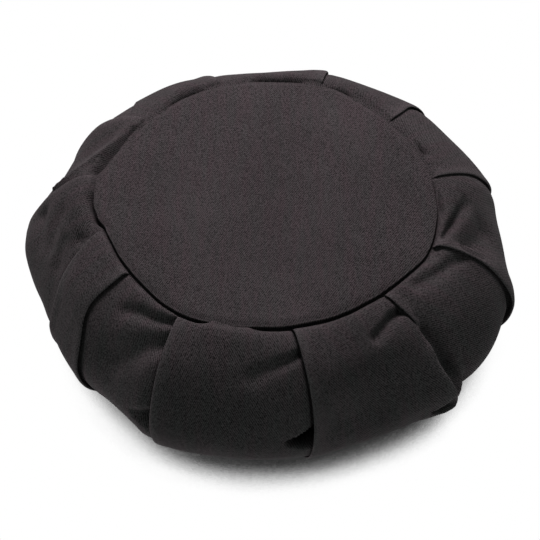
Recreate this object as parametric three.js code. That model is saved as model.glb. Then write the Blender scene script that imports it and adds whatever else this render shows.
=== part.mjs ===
// A zafu, the round cushion that a person sits on to meditate, lying on the floor.
// Two round panels are sewn to one long side band that is laid in pleats all round, and the cover is filled.
// Millimetres, +Z up. The origin is on the floor under the middle of the cushion, and its front faces -Y.

import * as THREE from "three";

const { clamp, degToRad, lerp, smoothstep } = THREE.MathUtils;

// Driving dimensions of the whole cushion
const SEAM_RADIUS = 128; // both round panels, out to the seam
const TOP_SEAM_HEIGHT = 108; // top seam above the floor
const FOOT_SEAM_HEIGHT = 7; // bottom seam above the floor
const FULL_RADIUS = 184; // the side band along its fullest line
const FULL_HEIGHT = 45; // that line above the floor
const SHOULDER_POWER = 1.53; // roundness of the side above that line: 2 is an ellipse, less is straighter
const FLANK_POWER = 2.3; // and below it
const CROWN = 5; // rise of the top panel in its middle
const FLAT_RADIUS = 110; // the part of the bottom panel that lies on the floor
const CLOTH = 2; // thickness of a round panel
const CLEARANCE = 0.4; // between a round panel and the filled side

// Sizes of the seams and folds
const SEAM_DIP = 4; // how deep the cloth turns in at a seam
const SEAM_DIP_WIDTH = 2.5; // and how wide that turn is
const RIM_DROP = 1.4; // how far a round panel's rim bends into the seam
const RIM_WIDTH = 6; // the width of that bend
const FOLD_REACH = 11; // a pleat's own width to each side of its edge
const TUCK = 8; // how far the under layer runs in beneath a lip
const OVERHANG = 3; // how far a lip's edge stands over the layer beneath
const LIP = 3.4; // thickness of a full lip, two layers of cloth with air between
const LIP_SHARE = 0.7; // a low lip's thickness, as a share of its height
const SINK = 0.5; // how far the under layer lies below the round of the band
const SINK_SHARE = 0.4; // and how much more for each millimetre of lip
const LEAST_LAP = 0.5; // a lip lower than this is left as a groove
const FULL_LAP = 3; // one as high as this is laid right over, and between the two it leans
const GROOVE = 4; // depth of a pleat where no lip stands
const GROOVE_WIDTH = 2.6; // half its width

// Places down the side, as shares of the way from the top seam to the bottom seam
const LIP_RISES_BY = 0.12; // a lip rises from the top seam as far as here
const LAP_HIGH_AT = 0.15; // the shoulder
const LAP_MID_AT = 0.35; // above the fullest line
const LAP_LOW_AT = 0.55; // on the fullest line
const LIP_SINKS_FROM = 0.6; // a lip sinks from here
const LIP_SINKS_BY = 0.92; // and is gone here
const GROOVE_RISE = 0.08; // a groove deepens over this share from either seam
const STRAY_FADE = 0.3; // the top seam's straying is gone here

// The pleats, anticlockwise from above. Angles are in degrees, where the fold's edge meets the top seam, the
// fullest line and the bottom seam. lapHigh, lapMid and lapLow are how far its lip stands out on the
// shoulder, above the fullest line and on that line: with + the next panel lies over the one before it, with
// - the other way round. seam is how far the top seam strays outwards there. corner is how far the fold
// stands out of the round at the fullest line, and bow the same for the middle of the panel after it.
const PLEATS = [
  { top: 10, side: 20, foot: 22, lapHigh: 3.5, lapMid: 4, lapLow: 5, seam: -2, corner: 2, bow: -1 },
  { top: 41, side: 47, foot: 50, lapHigh: 3.5, lapMid: 4, lapLow: 5, seam: -3, corner: 2, bow: -1 },
  { top: 71, side: 75, foot: 78, lapHigh: 2.5, lapMid: 3, lapLow: 4, seam: 2, corner: 1, bow: -3 },
  { top: 107, side: 110, foot: 112, lapHigh: 2, lapMid: 3, lapLow: 4, seam: 2, corner: -3, bow: 2 },
  { top: 139, side: 144, foot: 147, lapHigh: 2.5, lapMid: 3, lapLow: 4, seam: 0, corner: 0, bow: -6 },
  { top: 171, side: 172, foot: 174, lapHigh: 2, lapMid: 2.5, lapLow: 3, seam: 3, corner: 1, bow: 3 },
  { top: 194, side: 204, foot: 208, lapHigh: 2, lapMid: 2, lapLow: 2.5, seam: -2, corner: -6, bow: 0 },
  { top: 215, side: 219, foot: 226, lapHigh: -3, lapMid: -4, lapLow: -5, seam: -6, corner: -4, bow: -1 },
  { top: 241, side: 244, foot: 246, lapHigh: 2, lapMid: 2.5, lapLow: 3.5, seam: -1, corner: 4, bow: 0 },
  { top: 278, side: 281, foot: 277, lapHigh: 2.5, lapMid: 2.5, lapLow: 3.5, seam: -5, corner: 1, bow: -4 },
  { top: 312, side: 317, foot: 320, lapHigh: 1.5, lapMid: -1.5, lapLow: -7, seam: -5, corner: 2, bow: 3 },
  { top: 339, side: 346, foot: 341, lapHigh: 4, lapMid: 5, lapLow: 7, seam: 1, corner: 4, bow: -7 },
];

// Creases and rolls in the panels. panel counts the pleats above from 0 and names the panel after that
// pleat. Each runs from root to tip, in degrees and shares of the way down the side, and fades and narrows
// towards its tip. depth is into the filling, so a roll has a negative one. width is half the trough's width
// at the root.
const CREASE_TAPER = 0.6;
const CREASES = [
  { panel: 7, root: [241, 0.05], tip: [221, 0.1], width: 8, depth: 5 },
  { panel: 7, root: [242, 0.14], tip: [220, 0.28], width: 10, depth: 2.5 },
  { panel: 8, root: [279, 0.1], tip: [262, 0.14], width: 8, depth: 4 },
  { panel: 8, root: [281, 0.5], tip: [271, 0.5], width: 10, depth: 13 },
  { panel: 9, root: [313, 0.07], tip: [299, 0.12], width: 8, depth: 5 },
  { panel: 10, root: [343, 0.13], tip: [318, 0.05], width: 10, depth: 4 },
  { panel: 10, root: [318, 0.6], tip: [321, 0.4], width: 8, depth: 5 },
  { panel: 11, root: [347, 0.07], tip: [9, 0.24], width: 10, depth: 6 },
  { panel: 0, root: [19, 0.03], tip: [30, 0.03], width: 6, depth: 3 },
  { panel: 1, root: [53, 0.03], tip: [66, 0.03], width: 6, depth: 3 },
  { panel: 4, root: [143, 0.03], tip: [167, 0.28], width: 10, depth: -4 },
];

// Fineness of the faces
const PANEL_RINGS = [0.3, 0.6, FLAT_RADIUS / SEAM_RADIUS, 0.93, 0.97, 1]; // shares of a round panel's radius
const ROWS = 22; // down the side band
const PANEL_STEPS = 7; // across a panel, between two pleats
const ROUND_STEPS = 40; // round a panel

// The side's outline in the plane of X and Z, from the top seam out over the fullest line to the bottom seam.
class SideOutline extends THREE.Curve {
  getPoint(t, target = new THREE.Vector3()) {
    const upper = t < 0.5;
    const turn = Math.PI * (upper ? t : 1 - t);
    const power = 2 / (upper ? SHOULDER_POWER : FLANK_POWER);
    const seamHeight = upper ? TOP_SEAM_HEIGHT : FOOT_SEAM_HEIGHT;
    const radius = lerp(SEAM_RADIUS, FULL_RADIUS, Math.sin(turn) ** power);
    const height = lerp(FULL_HEIGHT, seamHeight, Math.max(0, Math.cos(turn)) ** power);
    return target.set(radius, 0, height);
  }
}

const OUTLINE = new SideOutline();
const SIDE_LENGTH = OUTLINE.getLength();

// A turn of angles from a to b, in radians, always the short way anticlockwise.
function turnTo(a, b) {
  const full = 2 * Math.PI;
  return (((b - a) % full) + full) % full;
}

// How far the top seam strays outwards at an angle, eased from each pleat to the next.
function seamStray(angle) {
  for (let i = 0; i < PLEATS.length; i++) {
    const from = PLEATS[i];
    const to = PLEATS[(i + 1) % PLEATS.length];
    const span = turnTo(degToRad(from.top), degToRad(to.top));
    const share = turnTo(degToRad(from.top), angle) / span;
    if (share <= 1) return lerp(from.seam, to.seam, smoothstep(share, 0, 1));
  }
  return 0;
}

// Where a pleat's edge is at a share v of the way down: a parabola through its three angles.
function pleatAngle(pleat, v) {
  const top = pleat.top * (1 - v) * (1 - 2 * v);
  const side = pleat.side * 4 * v * (1 - v);
  const foot = pleat.foot * v * (2 * v - 1);
  return degToRad(top + side + foot);
}

// How far a pleat's lip stands out at v. The lips lie flat at both seams.
function pleatLap(pleat, v) {
  const upper = lerp(pleat.lapHigh, pleat.lapMid, smoothstep(v, LAP_HIGH_AT, LAP_MID_AT));
  const lap = lerp(upper, pleat.lapLow, smoothstep(v, LAP_MID_AT, LAP_LOW_AT));
  return lap * smoothstep(v, 0, LIP_RISES_BY) * (1 - smoothstep(v, LIP_SINKS_FROM, LIP_SINKS_BY));
}

// Points across a pleat, as [distance round the band, distance out of it]. A lip is the next panel's edge
// laid over the end of the one before, which runs in beneath it, turns and comes back out.
function laidFold(lap) {
  const lip = Math.min(LIP, LIP_SHARE * lap);
  const sink = SINK + SINK_SHARE * lap;
  const underside = lap - lip;
  return [
    [-FOLD_REACH, -0.2 * sink],
    [-FOLD_REACH / 2, -0.7 * sink],
    [-OVERHANG, -sink],
    [TUCK / 2, -sink],
    [TUCK, (underside - sink) / 2],
    [-OVERHANG / 3, underside],
    [-OVERHANG, underside + lip / 2],
    [-OVERHANG / 3, lap],
    [FOLD_REACH, LIP_SHARE * lap],
  ];
}

// The same for a pleat whose two panels only meet in a groove.
function grooveFold(depth) {
  const half = [
    [-FOLD_REACH, 0],
    [-FOLD_REACH / 2, 0],
    [-GROOVE_WIDTH, -depth / 2],
    [-GROOVE_WIDTH / 2, -0.8 * depth],
  ];
  const other = half.map(([along, out]) => [-along, out]).reverse();
  return [...half, [0, -depth], ...other];
}

function pleatSection(pleat, v) {
  const lap = pleatLap(pleat, v);
  const laid = laidFold(Math.abs(lap));
  if (lap < 0) {
    laid.reverse();
    for (const point of laid) point[0] = -point[0];
  }
  const groove = grooveFold(GROOVE * smoothstep(Math.min(v, 1 - v), 0, GROOVE_RISE));
  const share = smoothstep(Math.abs(lap), LEAST_LAP, FULL_LAP);
  return groove.map(([along, out], k) => [lerp(along, laid[k][0], share), lerp(out, laid[k][1], share)]);
}

// The troughs and rolls of one panel, as a distance out of the band.
function creaseRelief(panel, angle, v, radius) {
  let out = 0;
  for (const crease of CREASES.filter((row) => row.panel === panel)) {
    const place = (degrees, share) => {
      const turn = turnTo(degToRad(crease.root[0]) - Math.PI, degToRad(degrees)) - Math.PI;
      return new THREE.Vector2(turn * radius, share * SIDE_LENGTH);
    };
    const root = place(...crease.root);
    const run = place(...crease.tip).sub(root);
    const here = place((angle * 180) / Math.PI, v).sub(root);
    const share = clamp(here.dot(run) / run.lengthSq(), 0, 1);
    const width = crease.width * (1 - CREASE_TAPER * share);
    const aside = here.addScaledVector(run, -share).length() / width;
    out -= crease.depth * (1 - share * share) * Math.exp(-aside * aside);
  }
  return out * smoothstep(v, 0, SEAM_DIP_WIDTH / SIDE_LENGTH);
}

// The panel whose creases reach point k of a pleat's section. They run in under a lip, which stays smooth.
function foldPanel(pleat, k, count, v) {
  const before = (pleat + PLEATS.length - 1) % PLEATS.length;
  const middle = (count - 1) / 2;
  const laidOver = pleatLap(PLEATS[pleat], v) >= 0;
  if (k === 0) return before;
  if (k === count - 1) return pleat;
  if (laidOver) return k <= middle ? before : null;
  return k >= middle ? pleat : null;
}

// One point of the side, at an angle, a share v of the way down and a distance out of the outline.
function sidePoint(angle, v, out) {
  const base = OUTLINE.getPointAt(v);
  const along = OUTLINE.getTangentAt(v);
  const stray = seamStray(angle) * (1 - smoothstep(v, 0, STRAY_FADE));
  const radius = base.x - along.z * out + stray;
  const height = base.z + along.x * out;
  return new THREE.Vector3(radius * Math.cos(angle), radius * Math.sin(angle), height);
}

// All the points round the side at v: each pleat's section, then the panel as far as the next pleat.
function sideRing(v) {
  const radius = OUTLINE.getPointAt(v).x;
  const fullness = Math.sin(Math.PI * v);
  const seamDistance = Math.min(v, 1 - v) * SIDE_LENGTH;
  const dip = SEAM_DIP * Math.exp(-seamDistance / SEAM_DIP_WIDTH);
  const folds = PLEATS.map((pleat) => {
    const edge = pleatAngle(pleat, v);
    const corner = pleat.corner * fullness;
    const section = pleatSection(pleat, v);
    return section.map(([along, out]) => ({ angle: edge + along / radius, out: out + corner }));
  });
  const ring = [];
  folds.forEach((fold, i) => {
    const next = folds[(i + 1) % folds.length];
    fold.forEach(({ angle, out }, k) => {
      const panel = foldPanel(i, k, fold.length, v);
      const relief = panel === null ? 0 : creaseRelief(panel, angle, v, radius);
      ring.push(sidePoint(angle, v, out + relief - dip));
    });
    const start = fold.at(-1);
    const end = next[0];
    const span = turnTo(start.angle, end.angle);
    for (let k = 1; k <= PANEL_STEPS; k++) {
      const share = k / (PANEL_STEPS + 1);
      const angle = start.angle + share * span;
      const bow = PLEATS[i].bow * fullness * 4 * share * (1 - share);
      const relief = creaseRelief(i, angle, v, radius);
      ring.push(sidePoint(angle, v, lerp(start.out, end.out, share) + bow + relief - dip));
    }
  });
  return ring;
}

// A closed skin over rings of points, from the first ring to the last, each end closed on a middle point.
// Each four-sided face is parted along its shorter diagonal.
function skinOver(rings, firstMiddle, lastMiddle) {
  const count = rings[0].length;
  const points = [...rings.flat(), firstMiddle, lastMiddle];
  const first = points.length - 2;
  const last = points.length - 1;
  const end = (rings.length - 1) * count;
  const faces = [];
  for (let k = 0; k < count; k++) {
    const after = (k + 1) % count;
    faces.push(first, k, after);
    for (let row = 0; row < end; row += count) {
      const [a, b, c, d] = [row + k, row + after, row + count + k, row + count + after];
      const leaning = points[a].distanceTo(points[d]) < points[b].distanceTo(points[c]);
      faces.push(...(leaning ? [a, c, d, a, d, b] : [a, c, b, b, c, d]));
    }
    faces.push(last, end + after, end + k);
  }
  return new THREE.BufferGeometry().setFromPoints(points).setIndex(faces);
}

// Height of the top panel's upper face at a radius, and of the bottom panel's under face.
function topFace(radius) {
  const share = radius / SEAM_RADIUS;
  const drop = RIM_DROP * smoothstep(radius, SEAM_RADIUS - RIM_WIDTH, SEAM_RADIUS);
  return TOP_SEAM_HEIGHT + CROWN * (1 - share * share) - drop;
}

function footFace(radius) {
  const rise = (radius - FLAT_RADIUS) / (SEAM_RADIUS - FLAT_RADIUS);
  return (FOOT_SEAM_HEIGHT - RIM_DROP) * Math.max(0, rise) ** 2;
}

// The filled side: the pleated band, closed above and below just inside the round panels.
function filledSide() {
  const rows = Array.from({ length: ROWS + 1 }, (_, row) => {
    const even = row / ROWS;
    const eased = (1 - Math.cos(Math.PI * even)) / 2;
    return sideRing((even + eased) / 2);
  });
  const inward = (ring, height) =>
    ring.map((p) => {
      const flat = FLAT_RADIUS / Math.hypot(p.x, p.y);
      return new THREE.Vector3(p.x * flat, p.y * flat, height);
    });
  const under = topFace(FLAT_RADIUS) - CLOTH - CLEARANCE;
  const over = CLOTH + CLEARANCE;
  const topMiddle = new THREE.Vector3(0, 0, topFace(0) - CLOTH - CLEARANCE);
  const footMiddle = new THREE.Vector3(0, 0, over);
  const rings = [inward(rows[0], under), ...rows, inward(rows.at(-1), over)];
  return skinOver(rings, topMiddle, footMiddle);
}

// A round panel: one sheet of cloth, its upper and under face the cloth's thickness apart.
function roundPanel(face, stray, upperOffset) {
  const ringAt = (share, lift) =>
    Array.from({ length: ROUND_STEPS }, (_, k) => {
      const angle = (2 * Math.PI * k) / ROUND_STEPS;
      const radius = share * (SEAM_RADIUS - CLEARANCE);
      const reach = radius + stray(angle) * smoothstep(share, PANEL_RINGS[1], 1);
      return new THREE.Vector3(reach * Math.cos(angle), reach * Math.sin(angle), face(radius) + lift);
    });
  const upper = PANEL_RINGS.map((share) => ringAt(share, upperOffset));
  const lower = PANEL_RINGS.map((share) => ringAt(share, upperOffset - CLOTH)).reverse();
  const middle = (lift) => new THREE.Vector3(0, 0, face(0) + lift);
  return skinOver([...upper, ...lower], middle(upperOffset), middle(upperOffset - CLOTH));
}

// Every piece is of the same charcoal cotton twill.
function cotton() {
  return new THREE.MeshStandardMaterial({ color: 0x363132, roughness: 0.95, metalness: 0 });
}

function piece(name, geometry) {
  const mesh = new THREE.Mesh(geometry, cotton());
  mesh.name = name;
  mesh.geometry.computeVertexNormals();
  return mesh;
}

const zafu = new THREE.Group();
zafu.add(
  piece("pleated_side", filledSide()),
  piece("top_panel", roundPanel(topFace, seamStray, 0)),
  piece("bottom_panel", roundPanel(footFace, () => 0, CLOTH)),
);

export default zafu;
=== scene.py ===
"""The dressed zafu: pleated side, two round panels, cotton twill, floor, light and camera.

Lengths in the tables are millimetres, and the scene is in metres. Angles are in degrees, anticlockwise
from +X as seen from above, and the front of the cushion faces -Y. A share v is of the way down the side,
from 0 at the top seam to 1 at the bottom seam.
"""

import math
from typing import NamedTuple

import bpy
import numpy as np
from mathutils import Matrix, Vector, noise


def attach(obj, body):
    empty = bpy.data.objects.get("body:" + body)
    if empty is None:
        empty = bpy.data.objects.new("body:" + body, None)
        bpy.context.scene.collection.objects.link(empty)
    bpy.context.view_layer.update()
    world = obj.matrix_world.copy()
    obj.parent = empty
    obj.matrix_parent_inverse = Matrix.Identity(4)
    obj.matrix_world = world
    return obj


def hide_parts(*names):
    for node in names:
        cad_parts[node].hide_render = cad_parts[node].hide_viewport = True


MM = 0.001
FULL_TURN = 2.0 * math.pi

# The whole cushion
SEAM_RADIUS = 128.0  # both round panels, out to the seam
TOP_SEAM_HEIGHT = 108.0  # top seam above the floor
FOOT_SEAM_HEIGHT = 7.0  # bottom seam above the floor
FULL_RADIUS = 184.0  # the side along its fullest line
FULL_HEIGHT = 45.0  # that line above the floor
SHOULDER_POWER = 1.53  # roundness of the side above that line: 2 is an ellipse, less is straighter
FLANK_POWER = 2.3  # and below it
CROWN = 5.0  # rise of the top panel in its middle
FLAT_RADIUS = 110.0  # the part of the bottom panel that lies on the floor
CLOTH = 2.0  # thickness of a round panel
CLEARANCE = 0.4  # between a round panel and the filled side

# Seams
SEAM_DIP_WIDTH = 3.2  # this far from a seam its dip has fallen to about a third, and creases are full
FOOT_DIP = 4.0  # how deep the side turns in at the bottom seam
RIM_DROP = 1.4  # how far a round panel's rim bends into the seam
RIM_WIDTH = 6.0  # the width of that bend
GAP_ENDS = 3.0  # degrees to each side of a gap's end in which it closes

# Folds
FOLD_REACH = 10.0  # a pleat's own width to each side of its line
TUCK = 8.0  # how far the under layer runs in beneath a lip
EDGE_ROUND = 2.0  # how far in from its edge a lip's underside is flat again
LIP = 1.9  # thickness of a full lip
LIP_SHARE = 0.7  # a low lip's thickness, and any lip's height where its pleat ends, as shares of its height
MOUTH_WIDTH = 2.2  # how far in front of a lip the hollow beneath it begins
MOUTH_START = 0.2  # the hollow's depth there, as a share of its depth under the lip
LEAST_LAP = 0.2  # a lip lower than this is left as a groove
FULL_LAP = 1.5  # one as high as this is laid right over, and between the two it leans
GROOVE = 5.0  # depth of a pleat where no lip stands
GROOVE_WIDTH = 1.3  # half its width
GROOVE_EDGE = 0.3  # its depth at that width, as a share of its depth in the middle
GROOVE_WALL = 0.8  # and half way in
PUFF_AT = 9.0  # a panel's puff is highest at this distance from the top seam
PUFF_WIDTH = 8.0  # and falls to about a third this far to each side of that

# Places down the side, as shares of the way
LIP_RISES_BY = 0.03  # a lip rises from the top seam as far as here
LAP_HIGH_AT = 0.15  # the shoulder
ARC_AT = 0.22  # a pleat's arc is widest here
ARC_WIDTH = 0.12  # and falls to about a third this far above and below
LAP_MID_AT = 0.35  # above the fullest line
LAP_LOW_AT = 0.55  # on the fullest line
MOUTH_CLOSES_FROM = 0.5  # the hollow under a lip closes from here
MOUTH_CLOSES_BY = 0.6  # and is gone here
LIP_SINKS_FROM = 0.6  # a lip sinks from here
LIP_SINKS_BY = 0.92  # and is gone here
GROOVE_RISE = 0.03  # a groove deepens over this share from either seam
STRAY_FADE = 0.3  # the top seam's straying is gone here
NORMAL_STEP = 0.002  # from a point to its two neighbours that give its normal

# Unevenness
LUMP_SCALE = 0.028  # lumps of the filling for each millimetre
LUMP_HEIGHT = 1.2  # on the side
LUMP_FADE = 20.0  # distance from a seam at which they are full
PANEL_LUMP_HEIGHT = 0.4  # on the top panel
PANEL_LUMPS_TO = 0.85  # they fade outside this share of its radius
PANEL_STRAYS_FROM = 0.6  # outside this share of its radius, the top panel follows the seam's straying
WOBBLE_SCALE = 0.05  # turns of the top seam's small unevenness for each millimetre
WOBBLE = 0.7  # how far it goes in or out
WOBBLE_STEPS = 721
SIDE_SEED = 1
PANEL_SEED = 2
SEAM_SEED = 3
SEED_SHIFT = (17.3, 5.1, 9.7)  # how far apart in the noise two seeds are

# Fineness of the meshes
OUTLINE_STEPS = 4001
SEEN_TO = 0.62  # rows lie closer together down to here
SEEN_ROWS = 96
FOOT_ROWS = 24
ROW_EVENNESS = 0.7  # 1 spaces the seen rows evenly, and less brings them closer at the top
FOLD_STEPS = (4, 3, 2, 2, 3, 3, 3, 5)  # columns from each point across a fold to the next
PANEL_STEPS = 5  # points across a panel, between two pleats
PANEL_STEP_WIDTH = 0.75  # degrees from column to column there
ROUND_STEPS = 360
ROUND_RINGS = 40
LEAST_KNOT = 1e-9  # keeps apart two points of a curve that fall together

# Weights of the points across a fold, for creases of the panel before, of the panel after, and for the paler
# lip edge, which stands for wear and is also a painted sheen highlight
GROOVE_BEFORE = np.array([1.0, 1.0, 1.0, 1.0, 0.5, 0.0, 0.0, 0.0, 0.0])
GROOVE_AFTER = 1.0 - GROOVE_BEFORE
LAID_BEFORE = np.array([1.0, 1.0, 1.0, 1.0, 1.0, 0.0, 0.0, 0.0, 0.0])
LAID_AFTER = np.array([0.0, 0.0, 0.0, 0.0, 0.0, 0.0, 0.0, 0.0, 1.0])
LAID_WEAR_AND_SHEEN = np.array([0.0, 0.0, 0.0, 0.0, 0.0, 0.2, 1.0, 0.7, 0.0])


class Pleat(NamedTuple):
    """One pleat, and the panel after it.

    top, side, foot: angles of its line at the top seam, half way down and at the bottom seam
    arc: how many degrees its line bends round on the shoulder
    lap_high, lap_mid, lap_low: how far its lip stands out on the shoulder, above the fullest line and on it.
        With + the next panel lies over the one before it, with - the other way round
    sewn: how deep the side turns in at the top seam
    corner, bow: how far the fold, and the middle of the panel, stand out of the round
    puff: how far the panel puffs out beside the top seam
    mouth: how deep the hollow under the lip is for each millimetre of the lip
    """

    top: float
    side: float
    foot: float
    arc: float
    lap_high: float
    lap_mid: float
    lap_low: float
    sewn: float
    corner: float
    bow: float
    puff: float
    mouth: float


PLEATS = (
    Pleat(9.2, 18.9, 22, 0.3, 1.5, 1.9, 3, 1.5, 2, -1, 1, 0.55),
    Pleat(40.3, 46.2, 50, 1.6, 1.6, 2.2, 3.6, 1, 2, -1, 2, 0.65),
    Pleat(70.5, 74.5, 78, 0, 2.2, 2.6, 4, 1, 1, -5, 1.6, 0.25),
    Pleat(106.5, 109.5, 112, 0, 2, 3, 4, 1, -3, 2, 2, 0.25),
    Pleat(138.5, 143.5, 147, 0, 2.6, 2.6, 3, 1, -1, -6, 2, 0.3),
    Pleat(170, 171, 174, 0, 2.4, 3, 5, 3, 0, 1.5, 2, 0.3),
    Pleat(193.5, 203, 207, 0, 1.6, 1.8, 2.2, 6, -7, 0, 0.5, 0.8),
    Pleat(215.5, 219.4, 226, -2.4, -3, -3.2, -3.6, 7, -4, -3, 1, 0.4),
    Pleat(240.5, 243.2, 246, 0, 1.7, 2, 2.6, 7.5, 4, 0, 1, 1),
    Pleat(278, 280.2, 273, 0, 2.2, 2.6, 1.8, 10, 1, -4.5, 0.5, 1.5),
    Pleat(312, 314.9, 321, 1.5, 1.3, -1.8, -10, 7.5, 2, 2.5, 0.5, 1.8),
    Pleat(338.5, 343.9, 335, 0, 2, 2.4, 5, 6, 5, -7, 1, 0.4),
)


class Stray(NamedTuple):
    """How far out of round the top seam is at an angle."""

    angle: float
    out: float


STRAYS = (
    Stray(9.4, -2),
    Stray(40.5, -3),
    Stray(70.5, 1.5),
    Stray(88, -1),
    Stray(106.5, -0.3),
    Stray(122, -1.5),
    Stray(138.5, -3.5),
    Stray(155, -4),
    Stray(163, -1),
    Stray(170, 4),
    Stray(182, 3.2),
    Stray(187.5, 0.5),
    Stray(193.5, -4.2),
    Stray(205, -6),
    Stray(215.5, -6),
    Stray(240.5, -1),
    Stray(278, -5),
    Stray(312, -5),
    Stray(338.5, 1),
)


class Gap(NamedTuple):
    """A stretch of the top seam where the side lies deeper beside the round panel, or higher with a depth
    below 0. At its width from the seam it has fallen to about a third."""

    start: float
    end: float
    depth: float
    width: float


GAPS = (
    Gap(60, 65, 6, 1.8),
    Gap(79, 94, 7, 2),
    Gap(114, 128, 2.5, 1.2),
    Gap(178, 190, 9, 5),
    Gap(249, 266, -7, 3.2),
    Gap(342, 368, 3, 1),
)


class Crease(NamedTuple):
    """A trough along a path over one panel, or a roll where its depths are below 0.

    panel: counts the pleats from 0, and is the panel after that pleat
    path: angles, and shares of the way down
    depths, widths: spread evenly from the start of the path to its end
    power: 1 gives a sharp trough, 2 a round one and more a flat one with steep sides
    upper: its width above the path, as a share of its width below
    sink: how far the trough also goes down, as a share of its depth
    """

    panel: int
    path: tuple
    depths: tuple
    widths: tuple
    power: float
    upper: float = 1.0
    sink: float = 0.0


CREASES = (
    Crease(6, ((204, 0.22), (213, 0.22)), (-2.5, -2.5), (16, 16), 2),
    Crease(7, ((240.5, 0.052), (235.3, 0.078), (229.2, 0.095), (224.5, 0.13)), (6, 3), (3.6, 5), 2),
    Crease(7, ((239, 0.022), (230, 0.02), (223, 0.03)), (-1.5, -1), (4, 5), 2),
    Crease(7, ((241.2, 0.15), (236.5, 0.195), (232, 0.27), (228, 0.34)), (6.5, 5), (6.5, 12), 2),
    Crease(7, ((242, 0.49), (237, 0.51)), (10, 0), (6, 3), 2),
    Crease(8, ((279.5, 0.128), (274.5, 0.155), (270.5, 0.178), (266, 0.212)), (5.5, 2.5), (2.8, 6), 2),
    Crease(8, ((280, 0.455), (277, 0.485), (273.5, 0.507)), (40, 0), (16, 4), 6, 0.05, 0.55),
    Crease(9, ((288, 0.2), (306, 0.2)), (-4, -4), (18, 18), 2),
    Crease(9, ((286, 0.46), (296, 0.46)), (3, 3), (15, 15), 2),
    Crease(9, ((313, 0.112), (309, 0.112), (305.5, 0.13), (301, 0.15)), (7, 4), (3, 3.5), 2),
    Crease(9, ((316, 0.59), (311, 0.62), (306, 0.63)), (-4, 0), (6, 7), 2),
    Crease(9, ((314.8, 0.545), (312.4, 0.572), (309, 0.59)), (30, 14, 0), (6, 5, 2), 6, 0.05, 0.55),
    Crease(10, ((315, 0.17), (316.2, 0.3), (317.3, 0.45)), (5, 9), (3.4, 5), 2),
    Crease(10, ((340.5, 0.155), (336.5, 0.124), (330, 0.092), (322.5, 0.07)), (3, 3.5), (5, 5.5), 2),
    Crease(10, ((339, 0.03), (333, 0.025)), (3, 1.5), (3.2, 3.5), 2),
    Crease(10, ((318.6, 0.65), (318.8, 0.57), (318.4, 0.45)), (-7.5, -4, -1), (4, 2.5), 2),
    Crease(10, ((322, 0.6), (320.8, 0.46)), (4, 2), (3, 3), 1.5),
    Crease(11, ((343.5, 0.043), (351, 0.075), (358.5, 0.128), (363, 0.175)), (3, 7, 5, 2.5), (2.4, 5), 2),
    Crease(11, ((345, 0.19), (357, 0.3)), (8, 6), (12, 13), 2),
    Crease(11, ((364.5, 0.021), (357, 0.023), (350, 0.021)), (0, 7, 0), (1.2, 1.2), 1.5),
    Crease(0, ((27, 0.014), (23, 0.022), (18.5, 0.03)), (0, 6, 0), (1.4, 1.4), 1.5),
    Crease(3, ((141, 0.1), (134.5, 0.19), (130, 0.28)), (2, 4), (9, 14), 2, 0.06),
    Crease(4, ((143, 0.012), (160, 0.06), (167, 0.15), (169.5, 0.27)), (-2.5, -5), (3, 5), 1),
    Crease(4, ((146, 0.008), (153, 0.015), (160, 0.022), (167, 0.025)), (6, 6), (4, 3.5), 2),
    Crease(4, ((150, 0.12), (154, 0.22)), (3, 3), (10, 12), 2),
    Crease(5, ((175, 0.52), (178, 0.5)), (-2, -2), (20, 20), 2),
    Crease(5, ((189, 0.5), (193, 0.55)), (3, 3), (22, 22), 2),
    Crease(5, ((193.5, 0.125), (194, 0.1)), (2.5, 1.5), (5, 4), 2),
    Crease(5, ((181, 0.2), (187, 0.3)), (3, 3), (9, 9), 2),
    Crease(5, ((190, 0.2), (194.5, 0.3)), (2, 2), (5, 6), 2),
    Crease(5, ((175, 0.36), (183, 0.37)), (4.5, 3), (9, 9), 2),
)

# Cotton twill
DARK_YARN = (0.006, 0.0055, 0.0057, 1.0)
LIGHT_YARN = (0.07, 0.0655, 0.067, 1.0)
RED_YARN = (0.077, 0.0635, 0.068, 1.0)
# Paler yarn along the lips' edges: wear, and a painted sheen highlight
WEAR_AND_SHEEN_YARN = (0.11, 0.1, 0.104, 1.0)
RIB_PITCH = 1.36 * MM
RIB_TURN = math.radians(-34.0)
RIB_WAVER = 2.0  # how far the ribs stray from straight lines
RIB_SWING = 0.55  # their part in the yarn's shade
FIBRE_SCALE = 1000.0
FIBRE_TILT = (0.6, 0.5, 0.0)  # turns the grain's own lattice away from the flat faces
FIBRE_SWING = 1.25
BROAD_SCALE = 14.0  # soft patches in the dye
BROAD_DETAIL = 3.0
BROAD_SWING = 0.4
STREAK_WIDTH = 7.0 * MM
STREAK_LENGTH = 60.0 * MM
STREAK_DETAIL = 2.0
STREAK_SWING = 4.0
RED_SHARE = 0.4  # of the light yarn, on the whole
RUB_AND_SHEEN = 0.6  # how much paler the fibres of a lip's edge can be, for wear and a painted sheen highlight
WEAVE_HEIGHT = 0.1 * MM
WEAVE_STRENGTH = 0.5
ROUGHNESS = 0.95
SPECULAR = 0.03
SHEEN = 0.01
SHEEN_ROUGHNESS = 0.4
SHEEN_TINT = (0.8, 0.76, 0.77, 1.0)

# Facts about the nodes
WAVE_RADIANS = 20.0  # a wave texture's turn for each metre at a scale of 1
TEXTURE_MIDDLE = 0.5  # the value that noise and waves swing about
MIX_SHARE, MIX_A, MIX_B = 0, 6, 7  # inputs of a mix of two colours
MIX_COLOUR = 2  # its output

# Camera
CAMERA_DISTANCE = 1.5  # from the middle of the top seam
CAMERA_ELEVATION = math.radians(47.3)
CAMERA_LENS = 133.1
CAMERA_SENSOR = 36.0
AIM_RIGHT = 1.8 * MM  # from the middle of the top seam to where the camera looks
AIM_DOWN = 54.0 * MM

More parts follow.
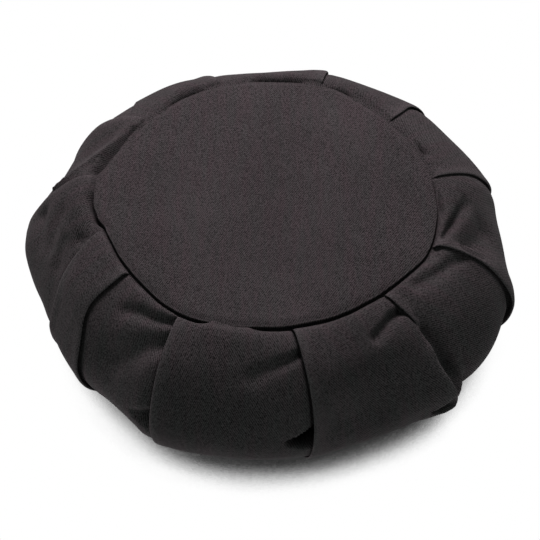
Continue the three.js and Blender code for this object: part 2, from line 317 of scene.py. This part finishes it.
# Floor
FLOOR_HALF = 6.0
BLACK = (0.0, 0.0, 0.0, 1.0)
WHITE = (1.0, 1.0, 1.0, 1.0)
# The floor glows, and its shadow is painted: the glow is dimmed where the cushion is close above it
SHADE_REACH = 0.08  # how far off the cushion still darkens the floor's glow, as a painted shadow
SHADE_LEAN = math.radians(30.0)  # how far from upright, to the back, the floor looks for open air, for its painted shadow
SHADE_ASIDE = -0.05  # and how far to the right
SHADE_FULL = 0.19  # share of open air at which the floor is darkest
SHADE_NONE = 0.43  # and at which it is plain
SHADE_LEAST = 0.03  # brightness where it is darkest

# Light
LAMP_COLOUR = (1.0, 0.88, 0.92)
FILL_COLOUR = (0.9, 1.0, 0.96, 1.0)
FILL_UP = (0.0, 0.0, 1.0)
FILL_EDGE = 0.2  # half the height of the band in which the light from below turns into the light from above
FILL_BELOW = 0.42
FILL_ABOVE = 0.3


class Lamp(NamedTuple):
    """A round soft lamp that faces the origin. Its place and size are in metres, its power in watts."""

    name: str
    place: tuple
    size: float
    power: float


LAMPS = (
    Lamp("key", (-0.13, 1.44, 1.72), 1.1, 62.0),
    Lamp("rim", (0.0, 2.1, 0.56), 1.0, 8.0),
    Lamp("bounce_left", (-1.53, -0.1, -1.29), 1.0, 20.0),
    Lamp("bounce_right", (1.33, -0.77, -1.29), 1.0, 7.0),
)


# Blends and turns


def lerp(a, b, share):
    return a + (b - a) * share


def smoothstep(x, low, high):
    """Rise from 0 at low to 1 at high, level at both ends."""
    t = np.clip((x - low) / (high - low), 0.0, 1.0)
    return t * t * (3.0 - 2.0 * t)


def hump(share):
    """Rise from 0 to 1 half way along, and fall to 0 again."""
    return 4.0 * share * (1.0 - share)


def bell(x, middle, width):
    """Fall from 1 at the middle to about a third one width away, and on towards 0."""
    return np.exp(-(((x - middle) / width) ** 2))


def turn_from(start, angle):
    """The turn from one angle to another, the short way round."""
    return (angle - start + math.pi) % FULL_TURN - math.pi


def spread(values, along):
    """Values spread evenly along a path, read at shares of the way along it."""
    return np.interp(along, np.linspace(0.0, 1.0, len(values)), values)


def lumps(points, scale, seed):
    """Smooth noise at points (n x 3), from -1 to 1."""
    shift = Vector([seed * x for x in SEED_SHIFT])
    return np.array([noise.noise(Vector(p) * scale + shift) for p in points])


# The side's outline, from the top seam out over the fullest line to the bottom seam


def outline_table():
    """Lengths along the outline, and its radius and height there."""
    t = np.linspace(0.0, 1.0, OUTLINE_STEPS)
    upper = t < 0.5
    turn = np.pi * np.where(upper, t, 1.0 - t)
    power = 2.0 / np.where(upper, SHOULDER_POWER, FLANK_POWER)
    seam_height = np.where(upper, TOP_SEAM_HEIGHT, FOOT_SEAM_HEIGHT)
    radius = lerp(SEAM_RADIUS, FULL_RADIUS, np.sin(turn) ** power)
    height = lerp(FULL_HEIGHT, seam_height, np.maximum(0.0, np.cos(turn)) ** power)
    steps = np.hypot(np.diff(radius), np.diff(height))
    return np.concatenate([[0.0], np.cumsum(steps)]), radius, height


LENGTHS, RADII, HEIGHTS = outline_table()
SIDE_LENGTH = LENGTHS[-1]


def outline(v):
    """Radius and height at v."""
    length = v * SIDE_LENGTH
    return np.interp(length, LENGTHS, RADII), np.interp(length, LENGTHS, HEIGHTS)


def outline_normal(v):
    """Direction out of the outline at v, as its parts along the radius and upwards."""
    r0, z0 = outline(np.maximum(v - NORMAL_STEP, 0.0))
    r1, z1 = outline(np.minimum(v + NORMAL_STEP, 1.0))
    length = np.hypot(r1 - r0, z1 - z0)
    return (z0 - z1) / length, (r1 - r0) / length


# Pleats


def pleat_angle(pleat, v):
    """Where a pleat's line is at v, in radians: a parabola through its three angles, and its arc."""
    top = pleat.top * (1.0 - v) * (1.0 - 2.0 * v)
    side = pleat.side * hump(v)
    foot = pleat.foot * v * (2.0 * v - 1.0)
    arc = pleat.arc * bell(v, ARC_AT, ARC_WIDTH)
    return math.radians(top + side + foot + arc)


def pleat_lap(pleat, v):
    """How far a pleat's lip stands out at v. The lips lie flat at both seams."""
    upper = lerp(pleat.lap_high, pleat.lap_mid, smoothstep(v, LAP_HIGH_AT, LAP_MID_AT))
    lap = lerp(upper, pleat.lap_low, smoothstep(v, LAP_MID_AT, LAP_LOW_AT))
    return lap * smoothstep(v, 0.0, LIP_RISES_BY) * (1.0 - smoothstep(v, LIP_SINKS_FROM, LIP_SINKS_BY))


def laid_fold(lap, mouth):
    """Points across a fold whose lip ends over the pleat's line and lies on the panel before it."""
    lip = min(LIP, LIP_SHARE * lap)
    under = lap - lip
    return np.array(
        [
            (-FOLD_REACH, 0.0),
            (-MOUTH_WIDTH, -MOUTH_START * mouth),
            (0.0, -mouth),
            (TUCK / 2, -mouth),
            (TUCK, (under - mouth) / 2),
            (EDGE_ROUND, under),
            (0.0, under + lip / 2),
            (EDGE_ROUND / 2, lap),
            (FOLD_REACH, LIP_SHARE * lap),
        ]
    )


def groove_fold(depth):
    """Points across a pleat whose two panels only meet in a groove."""
    half = np.array(
        [
            (-FOLD_REACH, 0.0),
            (-FOLD_REACH / 2, 0.0),
            (-GROOVE_WIDTH, -GROOVE_EDGE * depth),
            (-GROOVE_WIDTH / 2, -GROOVE_WALL * depth),
        ]
    )
    return np.concatenate([half, [(0.0, -depth)], mirrored(half)])


def mirrored(fold):
    return fold[::-1] * np.array([-1.0, 1.0])


class Section(NamedTuple):
    """Points across one pleat: where they are, whose creases reach them and how pale their edge is, for wear
    and a painted sheen highlight.
    """

    along: np.ndarray
    out: np.ndarray
    before: np.ndarray
    after: np.ndarray
    wear_and_sheen: np.ndarray


def pleat_section(pleat, v):
    """The points across a pleat at v, where it may be a groove, a laid fold or between the two."""
    lap = float(pleat_lap(pleat, v))
    share = float(smoothstep(abs(lap), LEAST_LAP, FULL_LAP))
    mouth = pleat.mouth * abs(lap) * (1.0 - smoothstep(v, MOUTH_CLOSES_FROM, MOUTH_CLOSES_BY))
    laid = laid_fold(abs(lap), mouth)
    before = lerp(GROOVE_BEFORE, LAID_BEFORE, share)
    after = lerp(GROOVE_AFTER, LAID_AFTER, share)
    # How pale the lip's edge is painted: wear, and a painted sheen highlight
    wear_and_sheen = share * LAID_WEAR_AND_SHEEN
    if lap < 0.0:
        laid = mirrored(laid)
        before, after, wear_and_sheen = after[::-1], before[::-1], wear_and_sheen[::-1]
    groove = groove_fold(GROOVE * smoothstep(min(v, 1.0 - v), 0.0, GROOVE_RISE))
    points = lerp(groove, laid, share)
    return Section(points[:, 0], points[:, 1], before, after, wear_and_sheen)


# Rings of points round the side. Each pleat is followed by the panel as far as the next pleat.

FOLD_POINTS = len(FOLD_STEPS) + 1
FOLD_MIDDLE = FOLD_POINTS // 2
BLOCK = FOLD_POINTS + PANEL_STEPS


def control_ring(v):
    """Angle, distance out, crease weights, and wear with a painted sheen highlight, of the points that a
    ring's curve goes through.
    """
    radius = outline(v)[0]
    fullness = math.sin(math.pi * v)
    puff_share = bell(v * SIDE_LENGTH, PUFF_AT, PUFF_WIDTH)
    sections = [pleat_section(pleat, v) for pleat in PLEATS]
    angles = [pleat_angle(p, v) + s.along / radius for p, s in zip(PLEATS, sections)]
    outs = [p.corner * fullness + s.out for p, s in zip(PLEATS, sections)]
    share = np.arange(1, PANEL_STEPS + 1) / (PANEL_STEPS + 1)
    none = np.zeros(PANEL_STEPS)
    rows = []
    for i, (pleat, section) in enumerate(zip(PLEATS, sections)):
        following = (i + 1) % len(PLEATS)
        turn = (angles[following][0] - angles[i][-1]) % FULL_TURN
        panel_angle = angles[i][-1] + share * turn
        swell = pleat.bow * fullness + pleat.puff * puff_share
        panel_out = lerp(outs[i][-1], outs[following][0], share) + swell * hump(share)
        rows.append(np.stack([angles[i], outs[i], section.before, section.after, section.wear_and_sheen]))
        rows.append(np.stack([panel_angle, panel_out, none, none + 1.0, none]))
    ring = np.concatenate(rows, axis=1)
    ring[0] = np.unwrap(ring[0])
    return ring


class Columns(NamedTuple):
    """For each column of the side: the ring's point before it, its share of the way on, and its pleat."""

    here: np.ndarray
    share: np.ndarray
    pleat: np.ndarray


def column_plan():
    """Columns over each pleat and its panel, as close on a wide panel as on a narrow one."""
    here, share = [], []
    for i, pleat in enumerate(PLEATS):
        width = (PLEATS[(i + 1) % len(PLEATS)].side - pleat.side) % 360
        panel = round(width / (PANEL_STEPS + 1) / PANEL_STEP_WIDTH)
        for k, steps in enumerate(FOLD_STEPS + (panel,) * (PANEL_STEPS + 1)):
            here.extend([i * BLOCK + k] * steps)
            share.extend(np.arange(steps) / steps)
    here = np.array(here)
    return Columns(here, np.array(share), here // BLOCK)


COLUMNS = column_plan()


def on_curve(points, here, share):
    """Points on a smooth curve through points (2 x n), a share of the way from point here + 1 to the next.

    The curve's knots are spaced by the square roots of the distances, so that it makes no loops.
    """
    p0, p1, p2, p3 = (points[:, here + k] for k in range(4))

    def knot(a, b):
        return np.sqrt(np.hypot(*(b - a))) + LEAST_KNOT

    t1 = knot(p0, p1)
    t2 = t1 + knot(p1, p2)
    t3 = t2 + knot(p2, p3)
    t = t1 + share * (t2 - t1)
    a1 = p0 + (p1 - p0) * t / t1
    a2 = p1 + (p2 - p1) * (t - t1) / (t2 - t1)
    a3 = p2 + (p3 - p2) * (t - t2) / (t3 - t2)
    b1 = a1 + (a2 - a1) * t / t2
    b2 = a2 + (a3 - a2) * (t - t1) / (t3 - t1)
    return b1 + (b2 - b1) * (t - t1) / (t2 - t1)


def fine_ring(v):
    """Angle, distance out, crease weights, and wear with a painted sheen highlight, at each column."""
    ring = control_ring(v)
    radius = outline(v)[0]
    count = ring.shape[1]
    index = np.arange(-1, count + 2)
    points = ring[:2, index % count].copy()
    points[0] = (points[0] + index // count * FULL_TURN) * radius
    curve = on_curve(points, COLUMNS.here, COLUMNS.share)
    # The last stretch of a panel keeps its weights, because the next pleat's are for other panels.
    last_of_block = (COLUMNS.here + 1) % BLOCK == 0
    following = np.where(last_of_block, COLUMNS.here, (COLUMNS.here + 1) % count)
    weights = lerp(ring[2:, COLUMNS.here], ring[2:, following], COLUMNS.share)
    return np.concatenate([curve[:1] / radius, curve[1:], weights])


def side_rows():
    """Shares of the way down, closest at the top seam and widest under the cushion."""
    seen = np.linspace(0.0, 1.0, SEEN_ROWS, endpoint=False)
    seen = SEEN_TO * lerp(seen**2, seen, ROW_EVENNESS)
    foot = lerp(SEEN_TO, 1.0, np.linspace(0.0, 1.0, FOOT_ROWS + 1))
    return np.concatenate([seen, foot])


# Creases


def crease_relief(crease, angle, v, radius):
    """How far one crease lifts the points of the side, below 0 in a trough."""
    start_angle, start_v = crease.path[0]

    def place(turned, down):
        return turn_from(math.radians(start_angle), turned) * radius, (down - start_v) * SIDE_LENGTH

    x, y = place(angle, v)
    knots = [place(math.radians(turned), down) for turned, down in crease.path]
    nearest = np.full(angle.shape, np.inf)
    along = np.zeros(angle.shape)
    lower = np.zeros(angle.shape, dtype=bool)
    for k, ((x0, y0), (x1, y1)) in enumerate(zip(knots, knots[1:])):
        run_x, run_y = x1 - x0, y1 - y0
        share = np.clip(((x - x0) * run_x + (y - y0) * run_y) / (run_x**2 + run_y**2), 0.0, 1.0)
        off_x, off_y = x - x0 - share * run_x, y - y0 - share * run_y
        aside = np.hypot(off_x, off_y)
        closer = aside < nearest
        nearest = np.where(closer, aside, nearest)
        along = np.where(closer, (k + share) / (len(knots) - 1), along)
        lower = np.where(closer, (run_x * off_y - run_y * off_x) * np.sign(run_x) > 0.0, lower)
    width = spread(crease.widths, along) * np.where(lower, 1.0, crease.upper)
    return -spread(crease.depths, along) * np.exp(-((nearest / width) ** crease.power))


def creased(angle, v, radius, before, after):
    """How far all the creases lift each point of the side out of it, and straight up."""
    out = np.zeros_like(angle)
    up = np.zeros_like(angle)
    for crease in CREASES:
        own = COLUMNS.pleat == crease.panel
        next_pleat = COLUMNS.pleat == (crease.panel + 1) % len(PLEATS)
        for columns, weight in ((own, after), (next_pleat, before)):
            rise = weight[:, columns] * crease_relief(crease, angle[:, columns], v, radius)
            out[:, columns] += rise
            up[:, columns] += crease.sink * rise
    return out, up


# The top seam


def round_the_seam(angle, places, values):
    """Values given at some places (in degrees), blended round the seam."""
    first = math.radians(places[0])
    turned = (angle - first) % FULL_TURN
    at = np.append((np.radians(places) - first) % FULL_TURN, FULL_TURN)
    values = np.append(values, values[0])
    k = np.clip(np.searchsorted(at, turned, side="right") - 1, 0, len(places) - 1)
    share = smoothstep((turned - at[k]) / (at[k + 1] - at[k]), 0.0, 1.0)
    return lerp(values[k], values[k + 1], share)


def wobble_table():
    """Angles all round, and how far the seam's small unevenness goes out there."""
    angles = np.linspace(0.0, FULL_TURN, WOBBLE_STEPS)
    ring = np.stack([np.cos(angles), np.sin(angles), 0.0 * angles], axis=-1) * SEAM_RADIUS
    return angles, WOBBLE * lumps(ring, WOBBLE_SCALE, SEAM_SEED)


WOBBLE_ANGLES, WOBBLES = wobble_table()


def seam_stray(angle):
    """How far out of round the top seam is."""
    stray = round_the_seam(angle, *zip(*STRAYS))
    return stray + np.interp(angle % FULL_TURN, WOBBLE_ANGLES, WOBBLES)


def no_stray(angle):
    return 0.0 * angle


def seam_dip(angle, distance):
    """How far the side turns in at a distance from the top seam."""
    sewn = round_the_seam(angle, [p.top for p in PLEATS], [p.sewn for p in PLEATS])
    dip = sewn * np.exp(-distance / SEAM_DIP_WIDTH)
    for gap in GAPS:
        half = (gap.end - gap.start) / 2.0
        aside = np.abs(np.degrees(turn_from(math.radians(gap.start + half), angle)))
        share = 1.0 - smoothstep(aside, half - GAP_ENDS, half + GAP_ENDS)
        dip = dip + gap.depth * share * np.exp(-distance / gap.width)
    return dip


# The whole side


class Grid(NamedTuple):
    """A grid of points, with the cloth coordinates of each, and its wear with a painted sheen highlight."""

    points: np.ndarray
    cloth: np.ndarray
    wear_and_sheen: np.ndarray


def around(radius, angle, height):
    """Points (rows x columns x 3) from their radius, angle and height."""
    return np.stack([radius * np.cos(angle), radius * np.sin(angle), height + 0.0 * angle], axis=-1)


def side_grid():
    rows = side_rows()
    rings = np.stack([fine_ring(v) for v in rows])
    angle, out, before, after, wear_and_sheen = (rings[:, k] for k in range(5))
    v = rows[:, None]
    radius, height = outline(v)
    normal_r, normal_z = outline_normal(v)
    seam_distance = np.minimum(v, 1.0 - v) * SIDE_LENGTH
    relief, lift = creased(angle, v, radius, before, after)
    relief = relief * smoothstep(seam_distance, 0.0, SEAM_DIP_WIDTH)
    foot_dip = FOOT_DIP * np.exp((v - 1.0) * SIDE_LENGTH / SEAM_DIP_WIDTH)
    swell = lumps(around(radius, angle, height).reshape(-1, 3), LUMP_SCALE, SIDE_SEED).reshape(out.shape)
    swell = LUMP_HEIGHT * swell * smoothstep(seam_distance, 0.0, LUMP_FADE)
    out = out + relief - seam_dip(angle, v * SIDE_LENGTH) - foot_dip + swell
    stray = seam_stray(angle) * (1.0 - smoothstep(v, 0.0, STRAY_FADE))
    points = around(radius + normal_r * out + stray, angle, height + normal_z * out + lift)
    return Grid(points, side_cloth(rows, angle, radius), wear_and_sheen)


def side_cloth(rows, angle, radius):
    """Where each point of the side lies in its panel's cloth: round from the panel's middle, and down."""
    edges = np.array([[pleat_angle(p, v) for p in PLEATS] for v in rows])
    ends = np.roll(edges, -1, axis=1)
    middles = edges + ((ends - edges) % FULL_TURN) / 2.0
    panel = (COLUMNS.pleat - (COLUMNS.here % BLOCK < FOLD_MIDDLE)) % len(PLEATS)
    turn = turn_from(middles[:, panel], angle)
    return np.stack([turn * radius, rows[:, None] * SIDE_LENGTH + 0.0 * angle], axis=-1)


# Meshes


def placed(name, data):
    """A new object in the scene."""
    made = bpy.data.objects.new(name, data)
    bpy.context.scene.collection.objects.link(made)
    return made


def closed_mesh(name, grid, first_middle, last_middle):
    """A piece whose skin runs over a grid's rings of points, closed at each end on a middle point."""
    rows, columns = grid.points.shape[:2]
    points = np.concatenate([grid.points.reshape(-1, 3), [first_middle, last_middle]]) * MM
    k = np.arange(columns)
    after = (k + 1) % columns
    faces = []
    for row in range(rows - 1):
        low = row * columns
        high = low + columns
        faces.append(np.stack([low + k, high + k, high + after, low + after], axis=1))
    quads = np.concatenate(faces).tolist()
    first, last = len(points) - 2, len(points) - 1
    end = (rows - 1) * columns
    caps = [[first, int(a), int(b)] for a, b in zip(k, after)]
    caps += [[last, int(end + b), int(end + a)] for a, b in zip(k, after)]
    mesh = bpy.data.meshes.new(name)
    mesh.from_pydata(points.tolist(), [], quads + caps)
    mesh.shade_smooth()
    write_cloth(mesh, np.concatenate([grid.cloth.reshape(-1, 2), np.zeros((2, 2))]) * MM)
    # Paler lip edges, for wear and a painted sheen highlight, are kept in this attribute
    attribute = mesh.attributes.new("wear_and_sheen", "FLOAT", "POINT")
    attribute.data.foreach_set("value", np.append(grid.wear_and_sheen.ravel(), [0.0, 0.0]))
    mesh.update()
    return placed(name, mesh)


def write_cloth(mesh, cloth):
    """Give each corner of the faces the cloth coordinates of its point."""
    corner_points = np.empty(len(mesh.loops), dtype=np.int32)
    mesh.loops.foreach_get("vertex_index", corner_points)
    layer = mesh.uv_layers.new(name="cloth")
    layer.data.foreach_set("uv", cloth[corner_points].ravel())


def top_face(radius):
    """Height of the top panel's upper face."""
    drop = RIM_DROP * smoothstep(radius, SEAM_RADIUS - RIM_WIDTH, SEAM_RADIUS)
    return TOP_SEAM_HEIGHT + CROWN * (1.0 - (radius / SEAM_RADIUS) ** 2) - drop


def foot_face(radius):
    """Height of the bottom panel's under face."""
    rise = np.maximum(0.0, (radius - FLAT_RADIUS) / (SEAM_RADIUS - FLAT_RADIUS))
    return (FOOT_SEAM_HEIGHT - RIM_DROP) * rise**2


def filled_side():
    """The pleated side, closed above and below just inside the round panels."""
    side = side_grid()
    rim = np.hypot(side.points[..., 0], side.points[..., 1])

    def inward(row, height):
        ring = side.points[row] * (FLAT_RADIUS / rim[row])[:, None]
        ring[:, 2] = height
        return ring[None]

    top = top_face(FLAT_RADIUS) - CLOTH - CLEARANCE
    foot = CLOTH + CLEARANCE
    points = np.concatenate([inward(0, top), side.points, inward(-1, foot)])
    cloth = np.concatenate([side.cloth[:1], side.cloth, side.cloth[-1:]])
    wear_and_sheen = np.concatenate([side.wear_and_sheen[:1], side.wear_and_sheen, side.wear_and_sheen[-1:]])
    top_middle = (0.0, 0.0, top_face(0.0) - CLOTH - CLEARANCE)
    return closed_mesh("side_cover", Grid(points, cloth, wear_and_sheen), top_middle, (0.0, 0.0, foot))


def round_panel(name, face, stray, upper_lift, lump_height):
    """A round sheet of cloth whose upper face lies upper_lift above face."""
    shares = np.sin(np.linspace(0.0, 0.5 * np.pi, ROUND_RINGS + 1)[1:])[:, None]
    angle = np.linspace(0.0, FULL_TURN, ROUND_STEPS, endpoint=False)
    radius = shares * (SEAM_RADIUS - CLEARANCE) + 0.0 * angle
    reach = radius + stray(angle) * smoothstep(shares, PANEL_STRAYS_FROM, 1.0)
    flat = around(reach, angle, 0.0 * radius)
    rise = lump_height * lumps(flat.reshape(-1, 3), LUMP_SCALE, PANEL_SEED).reshape(radius.shape)
    rise = rise * (1.0 - smoothstep(shares, PANEL_LUMPS_TO, 1.0))
    upper = around(reach, angle, face(radius) + upper_lift + rise)
    lower = upper - np.array([0.0, 0.0, CLOTH])
    points = np.concatenate([upper, lower[::-1]])
    cloth = np.concatenate([flat[..., :2], flat[::-1, :, :2]])
    wear_and_sheen = np.zeros(points.shape[:2])
    middle = face(0.0) + upper_lift
    return closed_mesh(name, Grid(points, cloth, wear_and_sheen), (0.0, 0.0, middle), (0.0, 0.0, middle - CLOTH))


# Materials


class Nodes:
    """Short ways to add nodes to a tree. Each input is a constant or the output of another node."""

    def __init__(self, tree):
        self.tree = tree

    def feed(self, node, inputs):
        for key, value in inputs.items():
            if isinstance(value, bpy.types.NodeSocket):
                self.tree.links.new(value, node.inputs[key])
            else:
                node.inputs[key].default_value = value

    def add(self, kind, inputs, **settings):
        node = self.tree.nodes.new(kind)
        for name, value in settings.items():
            setattr(node, name, value)
        self.feed(node, inputs)
        return node

    def maths(self, operation, a, b, clamp=False):
        return self.add("ShaderNodeMath", {0: a, 1: b}, operation=operation, use_clamp=clamp).outputs[0]

    def swing(self, value, by):
        """A texture's swing about its middle, made wider or narrower."""
        return self.maths("MULTIPLY", self.maths("SUBTRACT", value, TEXTURE_MIDDLE), by)

    def mixed(self, share, a, b):
        inputs = {MIX_SHARE: share, MIX_A: a, MIX_B: b}
        return self.add("ShaderNodeMix", inputs, data_type="RGBA").outputs[MIX_COLOUR]

    def speckle(self, vector, scale, detail):
        inputs = {"Vector": vector, "Scale": scale, "Detail": detail}
        return self.add("ShaderNodeTexNoise", inputs).outputs["Fac"]

    def level(self, value, start, end, low, high, **settings):
        """Values between start and end, moved to lie between low and high."""
        inputs = {"Value": value, "From Min": start, "From Max": end, "To Min": low, "To Max": high}
        return self.add("ShaderNodeMapRange", inputs, **settings).outputs["Result"]


def twill_ribs(nodes, cloth):
    """Slanting ribs of the weave."""
    mapping = {"Vector": cloth, "Rotation": (0.0, 0.0, RIB_TURN)}
    turned = nodes.add("ShaderNodeMapping", mapping, vector_type="TEXTURE").outputs[0]
    scale = FULL_TURN / (WAVE_RADIANS * RIB_PITCH)
    wave = {"Vector": turned, "Scale": scale, "Distortion": RIB_WAVER}
    return nodes.add("ShaderNodeTexWave", wave, bands_direction="X").outputs["Fac"]


def twill_fibres(nodes, place):
    """Fine grain of the yarn."""
    tilted = nodes.add("ShaderNodeMapping", {"Vector": place, "Rotation": FIBRE_TILT}).outputs[0]
    return nodes.speckle(tilted, FIBRE_SCALE, 0.0)


def red_streaks(nodes, cloth):
    """Long faint streaks of redder yarn, from 0 to 1."""
    mapping = {"Vector": cloth, "Scale": (STREAK_WIDTH, STREAK_LENGTH, 1.0)}
    stretched = nodes.add("ShaderNodeMapping", mapping, vector_type="TEXTURE").outputs[0]
    streaks = nodes.speckle(stretched, 1.0, STREAK_DETAIL)
    return nodes.maths("ADD", nodes.swing(streaks, STREAK_SWING), RED_SHARE, clamp=True)


def twill_material():
    material = bpy.data.materials.new("cotton_twill")
    material.use_nodes = True
    nodes = Nodes(material.node_tree)
    cloth = nodes.add("ShaderNodeUVMap", {}, uv_map="cloth").outputs[0]
    place = nodes.add("ShaderNodeTexCoord", {}).outputs["Object"]
    wear_and_sheen_mask = nodes.add("ShaderNodeAttribute", {}, attribute_name="wear_and_sheen").outputs["Fac"]
    ribs = nodes.swing(twill_ribs(nodes, cloth), RIB_SWING)
    fibres = twill_fibres(nodes, place)
    weave = nodes.maths("ADD", ribs, nodes.swing(fibres, FIBRE_SWING))
    patches = nodes.swing(nodes.speckle(place, BROAD_SCALE, BROAD_DETAIL), BROAD_SWING)
    shade = nodes.maths("ADD", nodes.maths("ADD", weave, patches), TEXTURE_MIDDLE, clamp=True)
    light_yarn = nodes.mixed(red_streaks(nodes, cloth), LIGHT_YARN, RED_YARN)
    colour = nodes.mixed(shade, DARK_YARN, light_yarn)
    # Paler fibres along the lips' edges: wear, and a painted sheen highlight
    wear_and_sheen_share = nodes.maths("MULTIPLY", wear_and_sheen_mask, nodes.maths("MULTIPLY", fibres, RUB_AND_SHEEN), clamp=True)
    relief = {"Height": weave, "Strength": WEAVE_STRENGTH, "Distance": WEAVE_HEIGHT}
    look = {
        "Base Color": nodes.mixed(wear_and_sheen_share, colour, WEAR_AND_SHEEN_YARN),
        "Normal": nodes.add("ShaderNodeBump", relief).outputs[0],
        "Roughness": ROUGHNESS,
        "Specular IOR Level": SPECULAR,
        "Sheen Weight": SHEEN,
        "Sheen Roughness": SHEEN_ROUGHNESS,
        "Sheen Tint": SHEEN_TINT,
    }
    nodes.feed(material.node_tree.nodes["Principled BSDF"], look)
    return material


def floor_material():
    """Plain, pale and glowing, with a painted shadow only where the cushion closes over it."""
    material = bpy.data.materials.new("pale_floor")
    material.use_nodes = True
    nodes = Nodes(material.node_tree)
    direction = {"X": SHADE_ASIDE, "Y": math.sin(SHADE_LEAN), "Z": math.cos(SHADE_LEAN)}
    lean = nodes.add("ShaderNodeCombineXYZ", direction).outputs[0]
    # Painted shadow: the glow falls where little open air is left above the floor
    above = nodes.add("ShaderNodeAmbientOcclusion", {"Distance": SHADE_REACH, "Normal": lean})
    open_air = above.outputs["AO"]
    soft = {"interpolation_type": "SMOOTHSTEP"}
    look = {
        "Base Color": BLACK,
        "Specular IOR Level": 0.0,
        "Emission Color": WHITE,
        "Emission Strength": nodes.level(open_air, SHADE_FULL, SHADE_NONE, SHADE_LEAST, 1.0, **soft),
    }
    nodes.feed(material.node_tree.nodes["Principled BSDF"], look)
    return material


# Floor, light and camera


def floor():
    """A wide floor that lets the light of the lamps below it through, and throws none back."""
    half = FLOOR_HALF
    corners = [(-half, -half, 0.0), (half, -half, 0.0), (half, half, 0.0), (-half, half, 0.0)]
    mesh = bpy.data.meshes.new("floor")
    mesh.from_pydata(corners, [], [(0, 1, 2, 3)])
    mesh.materials.append(floor_material())
    made = placed("floor", mesh)
    made.visible_diffuse = False
    made.visible_shadow = False


def facing(place, aim):
    """How a lamp or a camera turns at a place to look at its aim."""
    return (aim - place).to_track_quat("-Z", "Y").to_euler()


def studio_lamps():
    for lamp in LAMPS:
        light = bpy.data.lights.new(lamp.name, "AREA")
        light.shape = "DISK"
        light.size = lamp.size
        light.energy = lamp.power
        light.color = LAMP_COLOUR
        made = placed(lamp.name, light)
        made.location = lamp.place
        made.rotation_euler = facing(made.location, Vector())


def fill_light():
    """Soft light from all round, a little stronger from below."""
    world = bpy.data.worlds.new("studio")
    world.use_nodes = True
    nodes = Nodes(world.node_tree)
    direction = nodes.add("ShaderNodeTexCoord", {}).outputs["Generated"]
    upward = nodes.add("ShaderNodeVectorMath", {0: direction, 1: FILL_UP}, operation="DOT_PRODUCT")
    level = nodes.level(upward.outputs["Value"], -FILL_EDGE, FILL_EDGE, FILL_BELOW, FILL_ABOVE)
    glow = {"Color": FILL_COLOUR, "Strength": level}
    nodes.feed(world.node_tree.nodes["Background"], glow)
    bpy.context.scene.world = world


def camera():
    seam = Vector((0.0, 0.0, TOP_SEAM_HEIGHT * MM))
    back = Vector((0.0, -math.cos(CAMERA_ELEVATION), math.sin(CAMERA_ELEVATION)))
    up = Vector((0.0, math.sin(CAMERA_ELEVATION), math.cos(CAMERA_ELEVATION)))
    lens = bpy.data.cameras.new("camera")
    lens.sensor_width = CAMERA_SENSOR
    lens.lens = CAMERA_LENS
    made = placed("camera", lens)
    made.location = seam + back * CAMERA_DISTANCE
    made.rotation_euler = facing(made.location, seam + Vector((AIM_RIGHT, 0.0, 0.0)) - up * AIM_DOWN)
    bpy.context.scene.camera = made


# The scene

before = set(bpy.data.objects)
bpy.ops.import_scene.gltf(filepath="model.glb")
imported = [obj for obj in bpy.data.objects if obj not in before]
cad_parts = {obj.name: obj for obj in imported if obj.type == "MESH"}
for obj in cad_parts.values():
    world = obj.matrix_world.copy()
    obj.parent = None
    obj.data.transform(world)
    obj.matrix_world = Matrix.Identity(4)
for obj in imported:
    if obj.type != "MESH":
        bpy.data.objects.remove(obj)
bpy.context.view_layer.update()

twill = twill_material()
pieces = {
    "pleated_side": filled_side(),
    "top_panel": round_panel("top_cover", top_face, seam_stray, 0.0, PANEL_LUMP_HEIGHT),
    "bottom_panel": round_panel("bottom_cover", foot_face, no_stray, CLOTH, 0.0),
}
for node_name, piece in pieces.items():
    piece.data.materials.append(twill)
    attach(piece, "root")
    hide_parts(node_name)
floor()
studio_lamps()
fill_light()
camera()
bpy.context.scene.view_settings.view_transform = "Standard"
